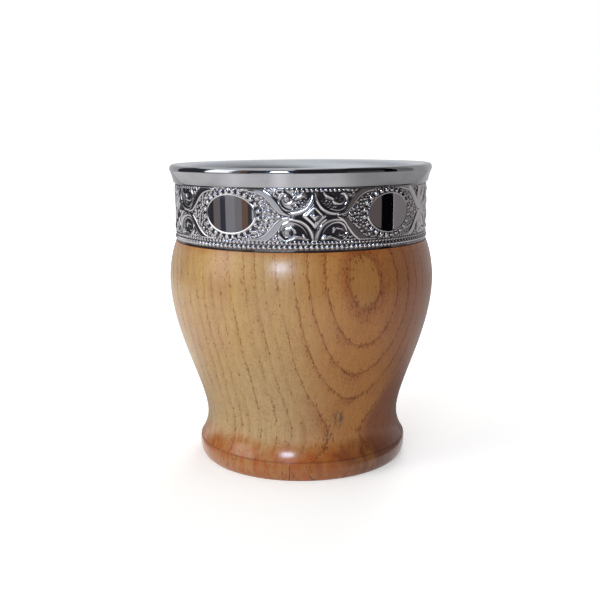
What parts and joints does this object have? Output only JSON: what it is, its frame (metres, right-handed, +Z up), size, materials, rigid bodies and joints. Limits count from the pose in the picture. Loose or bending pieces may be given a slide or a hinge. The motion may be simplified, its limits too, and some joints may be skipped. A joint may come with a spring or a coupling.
{
  "type": "wooden mate cup",
  "caption": "Turned wooden mate cup with a waisted foot, a steel lining, an embossed metal band and a flared metal rim, for drinking through a straw.",
  "frame": {"origin": "centre of the foot's flat underside", "axes": "+Z up along the turning axis, -Y towards the side that the picture shows"},
  "size_m": [0.0812, 0.0812, 0.0904],
  "materials": {
    "wood": "glossy varnish over open grain",
    "steel": "polished",
    "chased_metal": "polished relief with dark recesses",
    "solder": "satin",
    "adhesive": "matte"
  },
  "bodies": {
    "root": {"wood_body": "wood", "inner_cup": "steel", "rim_collar": "steel", "embossed_band": "chased_metal", "band_seam_solder": "solder", "band_adhesive": "adhesive", "floor_adhesive": "adhesive", "rim_sealant": "adhesive"}
  },
  "joints": []
}
